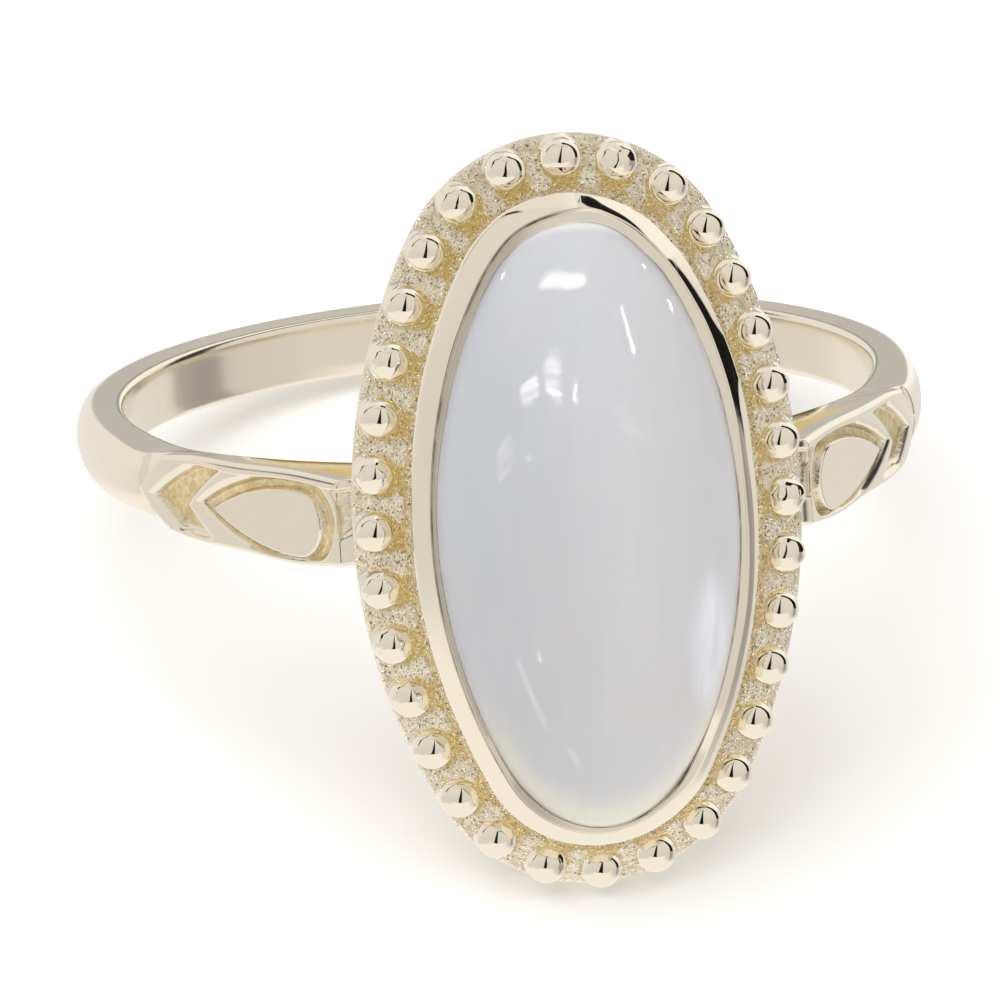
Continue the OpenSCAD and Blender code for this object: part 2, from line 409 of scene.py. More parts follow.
# turn clockwise from the top in degrees, and how much further out the hand-set beads sit there
beadDrift = [
    (-180, -0.03), (-120, -0.05), (-90, -0.02), (-40, 0), (0, -0.06),
    (45, 0.03), (75, 0), (100, -0.07), (145, -0.05), (180, -0.03),
]
frameShape = {
    "stations": 1216,
    "channelOut": 0.49,
    "channelRise": 0.42,
    "padInOut": 0.60,
    "padInRise": 0.56,
    "padOutOut": 1.50,
    "padOutRise": -0.43,
    "edgeOut": 1.6,
    "edgeRise": -0.58,
    "underOut": 1.45,
    "underRise": -1.05,
    "hollowOut": 1.00,
    "hollowRadius": 0.47,
    "hollowDepth": 0.19,
    "neckHalf": 0.22,
    "collar": 0.08,  # how far the polished fillet round a bead's outer side reaches
    "lumpDepth": 0.022,
    "grainDepth": 0.028,
}


def makeFrame():
    shape = frameShape
    table = [
        (0.26, 0.20, 0, 0.3),
        (0.32, 0.38, 0, 0.05),
        (shape["channelOut"], shape["channelRise"], 0.05, 0.03),
        (shape["padInOut"], shape["padInRise"], 0.05, 0.03),
        (shape["padOutOut"], shape["padOutRise"], 0.03, 0.03),
        (shape["edgeOut"], shape["edgeRise"], 0.05, 0.1),
        (shape["underOut"], shape["underRise"], 0.05, 0.5),
        (0.34, shape["underRise"], 0, 0.6),
    ]
    line = sectionLine(table)
    outs, rises = line[:, 0], line[:, 1]
    feet, outward, radius, along = ovalStations(shape["stations"], beadShape["lineOut"])
    total = along[1] * shape["stations"]
    spacing = total / beadShape["count"]
    bead = np.floor(along / spacing + 0.5)
    beside = along - bead * spacing
    stretch = (radius[:, None] + outs[None, :]) / (radius[:, None] + beadShape["lineOut"])
    beside = beside[:, None] * stretch
    heights = np.broadcast_to(rises, beside.shape).copy()
    points = sweepSection(feet, outward, outs, seatHeight + heights)
    lumps = roughness(points, 2.6)
    grain = roughness(points, 8.0, 3)
    onTop = (rises > shape["edgeRise"] - 0.01) & (outs > 0.36)
    flat = outs[None, :] + 0 * beside
    # the hollow behind each bead, and its neck into the channel
    inward = flat - shape["hollowOut"]
    ring = shape["hollowRadius"] - np.hypot(inward * np.where(inward > 0, 1.0, 1.15), beside)
    flare = 0.16 * smoothStep(0.80, 0.58, flat)
    neck = np.where(inward < 0, shape["neckHalf"] + flare - np.abs(beside), -1)
    opened = smoothStep(-0.03, 0.05, np.maximum(ring, neck) + 0.06 * lumps + 0.04 * grain)
    hollow = opened * onTop * smoothStep(1.34, 1.14, flat) * smoothStep(0.50, 0.62, flat)
    # polished fillet where a bead runs into the border
    downSlope = (flat - beadShape["lineOut"]) / (0.8 * beadShape["deep"])
    offBead = np.maximum(np.hypot(beside / beadShape["wide"], downSlope) - 1, 0) * beadShape["wide"]
    outerSide = smoothStep(1.22, 1.42, flat) * onTop
    collar = smoothStep(shape["collar"], 0, offBead) * outerSide
    pad = onTop * smoothStep(shape["edgeOut"] + 0.01, shape["padOutOut"] - 0.02, flat)
    pad = pad * (1 - smoothStep(shape["collar"] * 1.2, shape["collar"] * 0.7, offBead) * outerSide)
    heights = heights - hollow * shape["hollowDepth"] * smoothStep(0.5, 0.85, flat)
    heights += collar**2 * 0.08
    heights -= 0.05 * smoothStep(0.10, 0, offBead) * smoothStep(1.40, 1.15, flat) * onTop
    channel = onTop * smoothStep(0.60, 0.52, flat)
    # each pad bulges at its inner end
    fromPad = np.abs(np.abs(beside) - spacing / 2)
    swell = np.exp(-(((flat - 0.68) / 0.07) ** 2)) * smoothStep(0.42, 0.1, fromPad)
    heights += 0.05 * swell * (1 - hollow) * onTop * (0.8 + 0.6 * lumps)
    settle = smoothStep(0.38, 0.46, flat)
    rough = 1 + 0.7 * hollow + 0.4 * channel
    heights += pad * settle * rough * (shape["lumpDepth"] * lumps + shape["grainDepth"] * grain)
    points = sweepSection(feet, outward, outs, seatHeight + heights)
    look = dict(goldLook, castRoughness=0.22, castDepth=0.08, pitShare=0.33, pitSize=15000.0, grain=18000.0)
    look.update(satin=(0.93, 0.84, 0.65, 1), satinDark=(0.76, 0.65, 0.46, 1))
    # the deep gold and the pit colour are painted shade
    look.update(deep=(0.67, 0.475, 0.145, 1), pit=(0.22, 0.16, 0.08, 1), glintShare=0.75)
    # painted shade and bounced light: deeper gold in the hollows, round each bead's foot and, weaker, in
    # the channel
    around = smoothStep(0.13, 0.02, offBead) * smoothStep(1.46, 1.3, flat)
    deep = np.maximum(hollow * smoothStep(1.36, 1.15, flat), 0.7 * around)
    marks = {"cast": pad, "hollow": np.clip(deep + 0.3 * channel, 0, 1)}
    return gridPiece("beaded_frame", points, makeGold("frameGold", look), marks=marks)


beadedFrame = makeFrame()
beadedFrame.visible_glossy = False  # the bezel's face mirrors the tent down to its foot
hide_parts("ring_mount")


def makeBeads():
    shape = beadShape
    feet, outward, _, _ = ovalStations(shape["count"], shape["lineOut"])
    around, rings = 48, 28
    drift = np.interp(np.degrees(np.arctan2(outward[:, 0], outward[:, 1])), *np.array(beadDrift).T)
    dentDepth = 0.014 + 0.05 * np.random.default_rng(12).uniform(0, 1, shape["count"]) ** 5
    tilt = np.radians(shape["tilt"])
    turns = np.linspace(0, 2 * np.pi, around, endpoint=False)
    rise = np.linspace(0, np.pi, rings + 1)[1:-1]
    vertices, faces = [], []
    for k in range(shape["count"]):
        across = np.array([outward[k][0], outward[k][1], 0])
        upright = np.array([0, 0, 1.0])
        crown = np.sin(tilt) * across + np.cos(tilt) * upright
        down = np.cos(tilt) * across - np.sin(tilt) * upright
        side = np.cross(crown, down)
        middle = np.append(feet[k] + outward[k] * (shape["lineOut"] + drift[k]), seatHeight + shape["rise"])
        size = np.array([shape["deep"], shape["wide"], shape["tall"]])
        size = size * (1 + 0.03 * np.sin([7.3 * k, 5.9 * k + 2, 4.1 * k + 1]))
        ball = [crown * size[2]]
        for angle in rise:
            ring = np.outer(np.cos(turns) * size[0], down) + np.outer(np.sin(turns) * size[1], side)
            ball.extend(ring * np.sin(angle) + crown * np.cos(angle) * size[2])
        ball.append(-crown * size[2])
        ball = np.array(ball)
        dents = roughness(ball + [3.1 * k, 0, 0], 2.4) + (dentDepth[k] > 0.02) * roughness(ball, 6.0)
        ball = ball * (1 + dentDepth[k] * dents[:, None]) + middle
        base = len(vertices)
        vertices.extend(ball.tolist())
        last = base + len(ball) - 1
        for j in range(around):
            j2 = (j + 1) % around
            faces.append((base, base + 1 + j, base + 1 + j2))
            for i in range(rings - 2):
                a, b = base + 1 + i * around, base + 1 + (i + 1) * around
                faces.append((a + j, b + j, b + j2, a + j2))
            a = base + 1 + (rings - 2) * around
            faces.append((last, a + j2, a + j))
    mesh = bpy.data.meshes.new("beads")
    mesh.from_pydata(vertices, [], faces)
    mesh.transform(ringSpace)
    look = dict(goldLook, roughness=0.03, scuffs=0.03, castDepth=0.0)
    return finishPiece("beads", mesh, makeGold("beadGold", look), {})


makeBeads().visible_glossy = False

stoneShape = {"stations": 256, "rings": 60, "girdle": 0.15, "domeX": 3.55, "domeY": 7.2, "dome": 3.15}


def domeHeight(spots):
    # height of the stone's dome over places seen from above
    lift = 1 - (spots[..., 0] / stoneShape["domeX"]) ** 2 - (spots[..., 1] / stoneShape["domeY"]) ** 2
    return stoneLow[2] + stoneShape["girdle"] + stoneShape["dome"] * np.sqrt(np.maximum(lift, 0))


# Bezel: a thin wall folded over the stone's edge and filed by hand
bezelShape = {
    "stations": 900,
    "creaseRise": 0.98,
    "creaseWide": 0.035,  # the crease is a narrow wall between the face and the lip, darkened by painted shade
    "lipOverStone": 0.035,
    "lipLow": 1.05,
    "flats": 26,  # strokes of the file round the face
    # how much darker the lip is painted on its left
    "lipDarkerLeft": 0.35,
}
# turn clockwise from the top in degrees, then how the hand-made wall is there: rise of the face's
# normal at the crease and at the foot, distances out of the lip's inner edge, the crease and the foot,
# and painted shade in the crease
bezelRows = [
    (-180, 56, 30, -0.02, 0.13, 0.46, 0.2),
    (-160, 56, 30, -0.08, 0.11, 0.47, 0.4),
    (-130, 54, 31, -0.13, 0.06, 0.46, 0.6),
    (-110, 54, 32, -0.09, 0.05, 0.39, 0.6),
    (-85, 54, 34, -0.08, 0.03, 0.38, 0.8),
    (-75, 54, 35, -0.10, 0.05, 0.43, 0.7),
    (-70, 54, 35, -0.10, 0.06, 0.45, 0.7),
    (-60, 53, 34, -0.16, 0.01, 0.43, 0.8),
    (-50, 52, 33, -0.17, 0.01, 0.43, 0.9),
    (-40, 50, 32, -0.17, 0.06, 0.45, 0.9),
    (-30, 47, 29, -0.15, 0.09, 0.47, 1.0),
    (-20, 40, 24, -0.13, 0.09, 0.44, 1.0),
    (-10, 35, 23, -0.14, 0.10, 0.44, 0.7),
    (0, 33, 24, -0.13, 0.13, 0.41, 0.2),
    (4.6, 33, 24, -0.12, 0.14, 0.41, 0.1),
    (5.6, 43, 31.5, -0.11, 0.15, 0.41, 0),
    (9, 39, 31.5, -0.10, 0.18, 0.41, 0),
    (14, 38.5, 31, -0.11, 0.17, 0.39, 0),
    (20, 39, 25, -0.12, 0.11, 0.36, 0.2),
    (30, 37, 22, -0.16, 0.08, 0.35, 0.5),
    (40, 33.5, 22, -0.21, 0.04, 0.35, 0.8),
    (50, 31, 23, -0.24, 0.03, 0.37, 0.7),
    (60, 32, 24, -0.18, 0.03, 0.41, 0.5),
    (65, 38, 25, -0.14, 0.12, 0.45, 0.1),
    (70, 43, 27, -0.11, 0.18, 0.47, 0),
    (72.5, 45, 34, -0.09, 0.17, 0.48, 0),
    (77, 46, 36, -0.09, 0.16, 0.48, 0),
    (80, 47, 24, -0.11, 0.14, 0.47, 0.2),
    (85, 51, 21, -0.10, 0.08, 0.42, 0.3),
    (92, 58, 24, -0.09, 0.07, 0.40, 0.3),
    (100, 58, 28, -0.09, 0.12, 0.41, 0.1),
    (110, 56, 30, -0.08, 0.16, 0.46, 0.1),
    (125, 56, 30, -0.09, 0.14, 0.47, 0.1),
    (140, 56, 30, -0.08, 0.07, 0.46, 0.1),
    (160, 56, 30, -0.06, 0.08, 0.46, 0.1),
    (180, 56, 30, -0.02, 0.13, 0.46, 0.2),
]


def smoothRound(values, reach):
    # evens out values round the oval over so many stations
    weights = np.hanning(2 * reach + 1)
    wrapped = np.concatenate([values[-reach:, 0], values[:, 0], values[:reach, 0]])
    return np.convolve(wrapped, weights / weights.sum(), mode="valid")[:, None]


def makeBezel():
    shape = bezelShape
    feet, outward, _, along = ovalStations(shape["stations"], 0.055)
    share = along / (along[1] * shape["stations"])
    draw = np.random.default_rng(7)
    turn = np.degrees(np.arctan2(outward[:, 0], outward[:, 1]))
    rows = np.array(bezelRows)
    columns = [np.interp(turn, rows[:, 0], rows[:, k])[:, None] for k in range(1, 7)]
    high, low, lipIn, creaseOut, footOut, creaseShade = columns
    lipIn, creaseOut, footOut = (smoothRound(values, 12) for values in (lipIn, creaseOut, footOut))
    edgeLine = sweepSection(feet, outward, np.zeros(1), np.zeros(1))
    # noise that breaks up the painted shade along the lip's edge and in the crease
    shadeBreakup = np.clip(0.5 + 1.3 * roughness(edgeLine, 1.6, 3), 0, 1)

    def strokes(count):
        knots = (np.arange(count) + draw.uniform(-0.3, 0.3, count)) / count
        values = draw.uniform(-1, 1, count)
        return np.interp(share, np.concatenate([knots - 1, knots, knots + 1]), np.tile(values, 3))[:, None]

    def summed(values):
        between = (values[:, 1:] + values[:, :-1]) / 2
        return np.cumsum(np.concatenate([0 * high, between], axis=1), axis=1)

    # the face, from the crease down to its foot
    lean, swell, edge = strokes(shape["flats"]), strokes(shape["flats"]), strokes(3 * shape["flats"])
    steps = np.linspace(0, 1, 15)[None, :]
    rise = np.radians(high + (low - high) * steps + 1.6 * lean + 2.0 * swell * (steps - 0.5))
    out, fall = summed(np.sin(rise)), summed(np.cos(rise))
    scale = (footOut - creaseOut) / out[:, -1:]
    faceOut = creaseOut + out * scale
    faceRise = shape["creaseRise"] + 0.3 * (0.09 - creaseOut) - fall * scale
    # the lip folded over the stone, flat on top, with a steep edge down to the face
    lipOut = lipIn + 0.006 * edge
    onStone = domeHeight(feet + outward * lipIn)[:, None] - seatHeight
    lipRise = smoothRound(np.maximum(onStone + shape["lipOverStone"], shape["lipLow"]), 40)
    lipEnd = creaseOut - shape["creaseWide"]
    drop = lipRise - faceRise[:, :1]
    lip = [
        (lipOut - 0.01, lipRise - 0.14),
        (lipOut - 0.006, lipRise - 0.03),
        (lipOut, lipRise - 0.008),
        (lipOut + 0.012, lipRise),
        (lipOut + 0.024, lipRise),
        (lipEnd - 0.02, lipRise),
        (lipEnd - 0.01, lipRise),
        (lipEnd, lipRise - 0.012),
        (lipEnd + 0.008, lipRise - 0.4 * drop),
        (lipEnd + 0.014, lipRise - 0.7 * drop),
        (lipEnd + 0.022, lipRise - 0.95 * drop - 0.02 * creaseShade),
        (creaseOut - 0.006, faceRise[:, :1] - 0.008 * creaseShade),
    ]
    body = [(-0.2, -0.55), (-0.6, -0.55), (-0.6, 0.0), (0.0, 0.0), (0.0, 0.85)]
    skirt = [(footOut + 0.01, 0.30), (0.42, -0.75), (-0.15, -0.75)]
    spots = body + lip + [(faceOut, faceRise)] + skirt
    outs, rises = (np.concatenate([spot[k] + 0 * high for spot in spots], axis=1) for k in range(2))
    points = sweepSection(feet, outward, outs, seatHeight + rises)
    hidden = smoothStep(0.3, -0.1, rises)
    # painted shade at the lip's inner edge and in the crease, and the lip painted darker on its left
    paintedShade = 0 * rises
    first = len(body)
    paintedShade[:, first:first + 3] = np.array([1, 0.9, 0.5]) * shadeBreakup
    leftLipDark = shape["lipDarkerLeft"] * smoothStep(-10, -40, turn) * smoothStep(-170, -140, turn)
    paintedShade[:, first + 3:first + 8] = leftLipDark[:, None]
    paintedShade[:, first + 8:first + 11] = np.clip(creaseShade * (0.7 + 0.5 * shadeBreakup), 0, 1)
    look = dict(goldLook, roughness=0.05, castRoughness=0.3)
    marks = {"cast": hidden, "hollow": hidden, "paintedShade": paintedShade}
    return gridPiece("bezel", points, makeGold("bezelGold", look), marks=marks)


makeBezel()

# Gallery: the wall under the frame, cut to an arch at each end of the head
galleryShape = {
    "stations": 520,
    "inner": -0.2,
    "outer": 0.42,
    "top": -0.45,
    "footHalf": 1.4,
    "footHeight": 9.2,
    "archEnd": 5.0,
    "endHeight": 10.8,
}


def galleryLow(x, y):
    shape = galleryShape
    away = np.abs(y)
    band = np.sqrt(np.maximum(holeRadius**2 - x**2, 0)) + 0.01
    share = np.clip((away - shape["footHalf"]) / (shape["archEnd"] - shape["footHalf"]), 0, 1)
    lift = shape["endHeight"] - shape["footHeight"]
    arch = shape["footHeight"] + lift * np.sin(share * np.pi / 2) ** 0.8
    step = smoothStep(shape["footHalf"] - 0.12, shape["footHalf"] + 0.04, away)
    return band + (arch - band) * step


def makeGallery():
    shape = galleryShape
    feet, outward, _, _ = ovalStations(shape["stations"], shape["outer"])
    down = np.linspace(0, 1, 12)
    top = seatHeight + shape["top"]
    loops = []
    for out, share in ((shape["outer"], down), (shape["inner"], down[::-1])):
        spots = feet + outward * out
        low = galleryLow(spots[:, 0], spots[:, 1])
        heights = top + (low - top)[:, None] * share[None, :]
        loops.append(sweepSection(feet, outward, np.full(len(share), out), heights))
    points = np.concatenate(loops, axis=1)[:, ::-1]
    look = dict(goldLook, roughness=0.2, castRoughness=0.4)
    marks = {"cast": np.full(points.shape[:2], 0.6), "hollow": np.full(points.shape[:2], 0.3)}
    return gridPiece("gallery", points, makeGold("galleryGold", look), marks=marks)


makeGallery()

# Band: one loft from the neck at the left of the head, round the finger, to the neck at the right
bandShape = {
    "backRadius": 9.775,
    "crownRadius": 1.3,
    "headSide": 3.5,  # the loft ends against the gallery wall
    "insideRound": 0.12,
    "lowRound": 0.55,
    "grooveDepth": 0.2,
    "rimDepth": 0.48,
    "railDepth": 0.08,
    "sideHollow": 0.17,
    "pocketDepth": 0.07,
}
# side: -1 left, 1 right; radius: the band's at the side; turn: of the flat plate, in degrees; endX: its end
shoulderTable = {
    "left": {"side": -1, "radius": 9.775, "flare": 14.0, "turn": 35.0, "endX": 5.3},
    "right": {"side": 1, "radius": 9.71, "flare": 14.0, "turn": 32.5, "endX": 5.42},
}
# run: millimetres back from the plate's end; middle: along the finger; outer and inner: half widths
widthRows = [
    # run, middle, outer, inner, rounding
    (-1.0, 0.0, 0.93, 0.80, 0.10),
    (0.0, -0.03, 0.99, 0.72, 0.18),
    (1.6, -0.06, 1.08, 0.72, 0.20),
    (3.4, -0.04, 1.01, 0.68, 0.20),
    (5.1, -0.03, 0.97, 0.65, 0.16),
    (6.2, -0.05, 0.84, 0.64, 0.12),
    (7.3, -0.08, 0.72, 0.64, 0.10),
    (9.5, -0.08, 0.75, 0.72, 0.14),
    (12.0, -0.05, 0.77, 0.72, 0.22),
    (27.5, 0.03, 0.80, 0.74, 0.26),
]
reliefShape = {
    # drops: tip, round end, half width, middle along the finger
    "pad": (4.26, 0.59, 0.80, -0.13),
    "groove": (4.60, 0.28, 0.96, -0.06),
    # arches: tip, half width, length of the point, flatness of its sides, middle along the finger
    "innerArch": (5.27, 1.09, 1.46, 5.0, -0.18),
    "outerArch": (6.54, 0.93, 2.0, 9.0, -0.12),
    "ridgeArch": (7.25, 1.08, 2.6, 0.0, 0.0),
    "archHalf": 0.78,  # the chevron stops short of the plate's edges
    "archMiddle": 0.06,
    "edge": 0.06,
    "ridgeRound": 0.26,
    "padRound": 0.06,
    "facet": 0.1,  # cut beside the arch where the crown stops
}


def tableAt(column, run):
    rows = np.array(widthRows)
    runs, values = rows[:, 0], rows[:, column]
    slopes = np.gradient(values, runs)
    k = np.clip(np.searchsorted(runs, run) - 1, 0, len(runs) - 2)
    gap = runs[k + 1] - runs[k]
    t = np.clip((run - runs[k]) / gap, 0, 1)
    first = (1 + 2 * t) * (1 - t) ** 2 * values[k] + t * (1 - t) ** 2 * gap * slopes[k]
    return first + t**2 * (3 - 2 * t) * values[k + 1] + t**2 * (t - 1) * gap * slopes[k + 1]


def outlinePoint(shoulder, run):
    # distance across, height and outward direction of the band's outline, and the outline's length
    turn = np.radians(shoulder["turn"])
    flare, centre = shoulder["flare"], shoulder["flare"] - shoulder["radius"]
    startX = flare * np.cos(turn) - centre
    startZ = flare * np.sin(turn)
    plateRun = (startX - shoulder["endX"]) / np.sin(turn)
    flareRun = flare * turn
    onPlate, onFlare = run < plateRun, run < plateRun + flareRun
    flareTurn = turn - (run - plateRun) / flare
    quarter = np.clip((run - plateRun - flareRun) / bandShape["backRadius"], 0, np.pi / 2)
    growth = bandShape["backRadius"] - shoulder["radius"]
    grown = shoulder["radius"] + growth * smoothStep(0, np.pi / 2, quarter)
    angle = np.where(onPlate, turn, np.where(onFlare, flareTurn, -quarter))
    x = np.where(onFlare, flare * np.cos(angle) - centre, grown * np.cos(angle))
    z = np.where(onFlare, flare * np.sin(angle), grown * np.sin(angle))
    x = np.where(onPlate, startX - (plateRun - run) * np.sin(turn), x)
    z = np.where(onPlate, startZ + (plateRun - run) * np.cos(turn), z)
    total = plateRun + flareRun + bandShape["backRadius"] * np.pi / 2
    return x, z, np.cos(angle), np.sin(angle), total


def insideDrop(run, across, tip, end, half, middle):
    # distance inside a drop with its round end towards the head
    aside = np.abs(across - middle)
    curve = tip - end - half
    away = run - end - half
    radius = (curve**2 + half**2) / (2 * half)
    return np.where(away > 0, radius - np.hypot(away, aside + radius - half), half - np.hypot(away, aside))


def insideArch(run, across, tip, half, curve, flatness, middle):
    # distance inside a pointed arch, open towards the head
    aside = np.abs(across - middle)
    away = run - (tip - curve)
    centre = (curve**2 - half**2) / (2 * half) if flatness == 0 else flatness
    shift = (half**2 + 2 * half * centre - curve**2) / (2 * curve)
    radius = np.hypot(curve + shift, centre)
    return np.where(away > 0, radius - np.hypot(away + shift, aside + centre), half - aside)


def edgeStep(distance):
    return smoothStep(-reliefShape["edge"], reliefShape["edge"], distance)


def reliefDepth(run, across, inland):
    # depth under the outline of the crown, the facets and the grooves, and where the skin is as cast
    relief = reliefShape
    groove = insideDrop(run, across, *relief["groove"])
    pad = insideDrop(run, across, *relief["pad"])
    inner = insideArch(run, across, *relief["innerArch"])
    outer = insideArch(run, across, *relief["outerArch"])
    ridge = insideArch(run, across, *relief["ridgeArch"])
    closed = smoothStep(relief["archHalf"], relief["archHalf"] - 0.1, np.abs(across - relief["archMiddle"]))
    cut = (edgeStep(groove) * edgeStep(-pad) + edgeStep(outer) * edgeStep(-inner) * closed) * inland
    crownRadius = bandShape["crownRadius"]
    crown = crownRadius - np.sqrt(np.maximum(crownRadius**2 - across**2, 0.2))
    facet = relief["facet"] * smoothStep(relief["ridgeArch"][0] + 0.02, relief["ridgeArch"][0] - 0.1, run)
    ridgeMask = smoothStep(-0.05, 0.04, ridge)
    depth = (crown + facet) * (1 - ridgeMask) + bandShape["grooveDepth"] * cut
    # rounded shoulders beside each cut
    inside = np.minimum(np.maximum(-groove, pad), np.maximum(inner, -outer))
    reach = np.where(pad > 0, relief["padRound"], relief["ridgeRound"])
    share = np.clip(1 - np.maximum(inside, 0) / reach, 0, 1)
    depth = depth + 0.6 * reach * (1 - np.sqrt(1 - 0.98 * share**2)) * ridgeMask * (1 - cut) * inland
    return depth, np.clip(cut, 0, 1)


def shoulderLoft(shoulder, runs):
    shape = bandShape
    x, z, nx, nz, _ = outlinePoint(shoulder, runs)
    middle, outer, inner, rounding = (tableAt(column, runs)[:, None] for column in (1, 2, 3, 4))
    endZ = outlinePoint(shoulder, np.array([0.0]))[1][0]
    # thickness, measured in from the outline to the finger hole or to the head's side
    reach = x * nx + z * nz
    toHole = reach - np.sqrt(np.maximum(reach**2 - (x**2 + z**2 - holeRadius**2), 0))
    toHead = np.where(nx > 0.3, (x - shape["headSide"]) / np.maximum(nx, 0.3), 99)
    thick = np.where(runs < 2, np.minimum(toHole, toHead), toHole)[:, None]
    neckTop = np.maximum((z - (endZ - 0.05)) / np.maximum(nz, 0.05), 0) * smoothStep(0.06, -0.06, runs)
    # rows over the top
    spread = np.linspace(1, -1, 69)[None, :]
    # the lower edge is rounded less, for the drop's groove runs close to it
    across = np.where(spread > 0, outer - rounding, outer - shape["lowRound"] * rounding) * spread
    fromEdge = np.minimum(across[:, :1] - across, across - across[:, -1:])
    depth, cast = reliefDepth(runs[:, None] + 0 * across, across, smoothStep(0.0, 0.08, fromEdge))
    depth = depth + neckTop[:, None]
    edgeTop = depth[:, :1]
    edgeLow = depth[:, -1:]
    gap = np.abs(across[:, :1] - across[:, 1:2])
    slopeTop = np.clip(np.arctan((depth[:, :1] - depth[:, 1:2]) / gap), 0, 0.6)
    slopeLow = np.clip(np.arctan((depth[:, -1:] - depth[:, -2:-1]) / gap), 0, 0.6)

    def under(depth):
        return x[:, None] - nx[:, None] * depth, z[:, None] - nz[:, None] * depth

    topX, topZ = under(depth)
    endLine = shoulder["endX"] + 0.19 * (across / 0.8) ** 2
    slant = -0.36 + 0.5 * (shoulder["endX"] - topX)
    pocket = smoothStep(0.0, 0.05, endLine - topX) * smoothStep(0.80, 0.72, across)
    pocket = pocket * smoothStep(slant - 0.05, slant + 0.04, across) * (runs[:, None] < 1)
    topZ = topZ - shape["pocketDepth"] * pocket
    skin = np.clip(cast + 0.35 * pocket, 0, 1)
    grainPoints = np.stack([topX, across, topZ], axis=-1)
    topZ = topZ + 0.012 * cast * roughness(grainPoints, 9.0, 2)
    top = np.stack([topX, across + middle, topZ], axis=-1)
    # painted shade and bounced light: deeper gold in the carved cuts and the pocket
    deep = 0.35 * cast + 0.1 * pocket
    # rounded edges, sides and inside, from the edge of the top to the middle of the inside
    turns = np.radians([18, 54])  # of the small rounding inside
    fade = smoothStep(5.8, 4.0, runs)[:, None]
    hollowReach = shape["sideHollow"] * fade

    def halfLoop(sign, edge, slope):
        reach = rounding * (1 if sign > 0 else shape["lowRound"])
        radius = reach / (1 - np.sin(slope))
        rows = []
        for share in (0.16, 0.34, 0.52, 0.7, 0.86):
            t = slope + (np.pi / 2 - slope) * share
            half = outer - reach + radius * (np.sin(t) - np.sin(slope))
            rows.append((edge + radius * (np.cos(slope) - np.cos(t)), half, 0 * edge))
        start = edge + radius * np.cos(slope)
        end = np.maximum(thick - shape["insideRound"], start + 0.01)
        rim = np.clip(edge + shape["rimDepth"], start + 0.02, end)
        rail = np.clip(thick - shape["railDepth"], rim, end)

        def sideRow(at, recess):
            share = np.clip((at - start) / np.maximum(end - start, 0.01), 0, 1)
            half = outer + (inner - outer) * share - recess * hollowReach
            rows.append((at, half, recess * fade))

        for share in (0, 0.35, 0.7, 0.95):
            sideRow(start + (rim - start) * share, 0)
        for step, recess in ((0, 0), (0.03, 0.45), (0.07, 0.8), (0.14, 1)):
            sideRow(np.minimum(rim + step, (rim + rail) / 2), recess)
        sideRow((rim + rail) / 2, 1)
        for step, recess in ((0.14, 1), (0.07, 0.8), (0.03, 0.45), (0, 0)):
            sideRow(np.maximum(rail - step, (rim + rail) / 2), recess)
        sideRow(rail + (end - rail) * 0.3, 0)
        sideRow(rail + (end - rail) * 0.95, 0)
        for t in turns:
            half = inner - shape["insideRound"] * (1 - np.cos(t))
            rows.append((end + (thick - end) * np.sin(t), half, 0 * edge))
        for share in (0.96, 0.6, 0.3):
            rows.append((thick, (inner - shape["insideRound"]) * share, 0 * edge))
        full = [[np.broadcast_to(value, edge.shape) for value in row] for row in rows]
        at, half, marks = (np.concatenate(column, axis=1) for column in zip(*full))
        loopX, loopZ = under(at)
        return np.stack([loopX, middle + sign * half, loopZ], axis=-1), marks

    upper, upperMarks = halfLoop(1, edgeTop, slopeTop)
    lower, lowerMarks = halfLoop(-1, edgeLow, slopeLow)
    centreX, centreZ = under(thick)
    centre = np.stack([centreX, middle, centreZ], axis=-1)
    points = np.concatenate([top, lower, centre, upper[:, ::-1]], axis=1)
    sides = [lowerMarks, 0 * thick, upperMarks[:, ::-1]]
    points[..., 0] *= shoulder["side"]
    return points, np.stack([np.concatenate([mark] + sides, axis=1) for mark in (skin, deep)])


def makeBand():
    left, right = shoulderTable["left"], shoulderTable["right"]
    total = [outlinePoint(shoulder, np.array([0.0]))[4] for shoulder in (left, right)]
    halves = []
    for shoulder, length in zip((left, right), total):
        # closest together where the shoulder is carved
        parts = ((-0.95, 0, 24), (0, 5.3, 168), (5.3, 7.7, 66), (7.7, 12, 40))
        runs = [np.linspace(low, high, count, endpoint=False) for low, high, count in parts]
        halves.append(shoulderLoft(shoulder, np.concatenate(runs + [np.linspace(12, length, 64)])))
    (leftPoints, leftMarks), (rightPoints, rightMarks) = halves
    points = np.concatenate([leftPoints, rightPoints[::-1][1:]], axis=0)
    cast, hollow = np.concatenate([leftMarks, rightMarks[:, ::-1][:, 1:]], axis=1)
    look = dict(goldLook, roughness=0.17, scuffs=0.05, castRoughness=0.35, castDepth=0.03)
    look.update(deep=(0.96, 0.74, 0.29, 1), pitShare=0.05, glintShare=0.4)
    marks = {"cast": cast, "hollow": hollow}
    return gridPiece("band", points, makeGold("bandGold", look), capEnds=True, marks=marks)


makeBand()

# Moonstone: a polished dome, milky, with a painted sheen and painted light at its edge
stoneLook = {
    "milk": (0.665, 0.665, 0.685, 1),
    "cool": (0.64, 0.665, 0.71, 1),
    "warm": (0.69, 0.66, 0.665, 1),
    # painted light: the stone's edge is painted white
    "rim": (1.0, 1.0, 1.0, 1),
    "foot": (0.86, 0.84, 0.71, 1),  # painted light: pale yellow that gathers along the bottom
    # colour of the painted sheen
    "paintedSheen": (0.86, 0.88, 0.96, 1),
    "roughness": 0.018,
    "ior": 1.52,
    "polish": 0.06,
    "paintedEdgeGlow": 0.12,  # painted glow at the thin edge, lifting the shade there
    "depth": 0.9,  # how far light wanders in the stone, in millimetres
}


